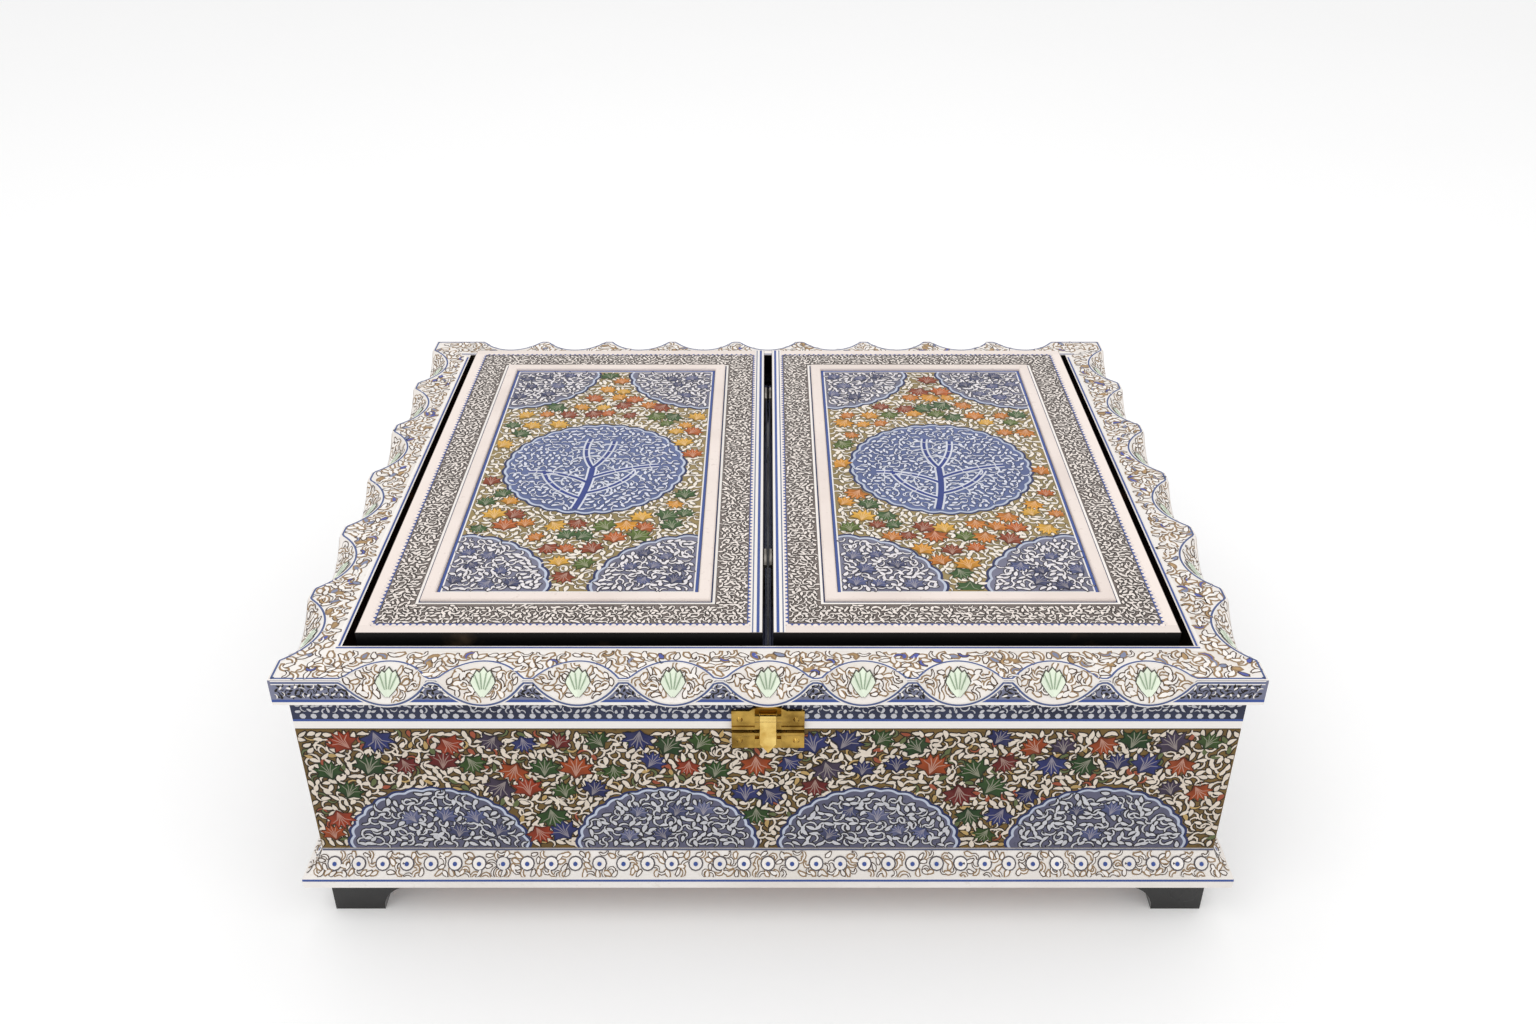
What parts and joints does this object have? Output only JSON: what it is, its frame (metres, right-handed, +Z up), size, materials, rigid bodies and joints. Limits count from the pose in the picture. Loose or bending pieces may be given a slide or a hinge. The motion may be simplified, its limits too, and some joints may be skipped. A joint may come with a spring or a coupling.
{
  "type": "quran box",
  "caption": "Low lacquered box on bracket feet with a hasped, hinged tray deck, a scalloped frame and a pair of leaves that tilt into a V-shaped book stand.",
  "frame": {"origin": "on the ground, under the middle of the box", "axes": "+X to the right along the longest side, +Y to the back, +Z up; the hasp faces -Y"},
  "size_m": [0.3668, 0.3028, 0.1263],
  "materials": {
    "wall_paint": "painted cream ground with leaf clusters under varnish",
    "plinth_paint": "painted white ground with grey scrolls under varnish",
    "band_paint": "painted dark blue pattern under varnish",
    "frame_paint": "painted cream ground with fine scrolls under varnish",
    "leaf_paint": "painted cream ground with blue medallion and leaf clusters under varnish",
    "moulding_paint": "pinkish white paint under varnish",
    "spine_paint": "fine grey and blue scrolls on cream under varnish",
    "amber_wood": "amber-stained softwood, satin",
    "black_lacquer": "black lacquer, worn at the edges",
    "brass": "polished sheet brass",
    "steel": "dull steel wire and sheet"
  },
  "bodies": {
    "base": {"base_front_wall": "wall_paint", "base_back_wall": "wall_paint", "base_left_wall": "wall_paint", "base_right_wall": "wall_paint", "base_floor": "amber_wood", "plinth_front": "plinth_paint", "plinth_back": "plinth_paint", "plinth_left": "plinth_paint", "plinth_right": "plinth_paint", "foot_front_left": "black_lacquer", "foot_front_right": "black_lacquer", "foot_back_left": "black_lacquer", "foot_back_right": "black_lacquer", "hasp_keeper": "brass", "hasp_keeper_nails": "brass", "deck_hinge_lower": "steel", "deck_hinge_pins": "steel"},
    "deck": {"band_front": "band_paint", "band_back": "band_paint", "left_band_end": "band_paint", "right_band_end": "band_paint", "left_tray_floor": "amber_wood", "left_tray_outer": "amber_wood", "left_tray_inner": "amber_wood", "left_tray_front": "amber_wood", "left_tray_back": "amber_wood", "left_tray_partition": "amber_wood", "left_spine_strip": "spine_paint", "right_tray_floor": "amber_wood", "right_tray_outer": "amber_wood", "right_tray_inner": "amber_wood", "right_tray_front": "amber_wood", "right_tray_back": "amber_wood", "right_tray_partition": "amber_wood", "right_spine_strip": "spine_paint", "spine_bed": "black_lacquer", "spine_bearer_front": "black_lacquer", "spine_bearer_back": "black_lacquer", "hasp_plate": "brass", "hasp_pin": "brass", "hasp_plate_nails": "brass", "deck_hinge_upper": "steel", "frame_hinge_lower": "steel", "frame_hinge_pins": "steel"},
    "frame": {"frame_front_rail": "frame_paint", "frame_back_rail": "frame_paint", "frame_left_rail": "frame_paint", "frame_right_rail": "frame_paint", "frame_hinge_upper": "steel"},
    "tongue": {"hasp_tongue": "brass"},
    "left_rod": {"left_pivot_rod": "steel"},
    "right_rod": {"right_pivot_rod": "steel"},
    "left_leaf": {"left_leaf": "leaf_paint", "left_leaf_moulding": "moulding_paint", "left_leaf_eyes": "steel"},
    "right_leaf": {"right_leaf": "leaf_paint", "right_leaf_moulding": "moulding_paint", "right_leaf_eyes": "steel"}
  },
  "joints": [
    {"name": "deck_lift", "type": "hinge", "parent": "base", "child": "deck", "pos_m": [0, 0.14635, 0.09485], "axis": [-1, 0, 0], "range_deg": [0, 80]},
    {"name": "frame_lift", "type": "hinge", "parent": "deck", "child": "frame", "pos_m": [0, 0.14575, 0.10755], "axis": [-1, 0, 0], "range_deg": [0, 100]},
    {"name": "tongue_swing", "type": "hinge", "parent": "deck", "child": "tongue", "pos_m": [0, -0.1469, 0.1025], "axis": [-1, 0, 0], "range_deg": [0, 100]},
    {"name": "left_rod_slide", "type": "slide", "parent": "deck", "child": "left_rod", "axis": [-1, 0, 0], "range_m": [0, 0.0301]},
    {"name": "right_rod_slide", "type": "slide", "parent": "deck", "child": "right_rod", "axis": [1, 0, 0], "range_m": [0, 0.0301]},
    {"name": "left_leaf_tilt", "type": "hinge", "parent": "left_rod", "child": "left_leaf", "pos_m": [-0.003, 0, 0.1057], "axis": [0, 1, 0], "range_deg": [0, 32]},
    {"name": "right_leaf_tilt", "type": "hinge", "parent": "right_rod", "child": "right_leaf", "pos_m": [0.003, 0, 0.1057], "axis": [0, -1, 0], "range_deg": [0, 32]}
  ],
  "couplings": [
    {"joint": "left_rod_slide", "follows": "left_leaf_tilt", "m_per_rad": 0.053715},
    {"joint": "right_rod_slide", "follows": "right_leaf_tilt", "m_per_rad": 0.053715}
  ]
}
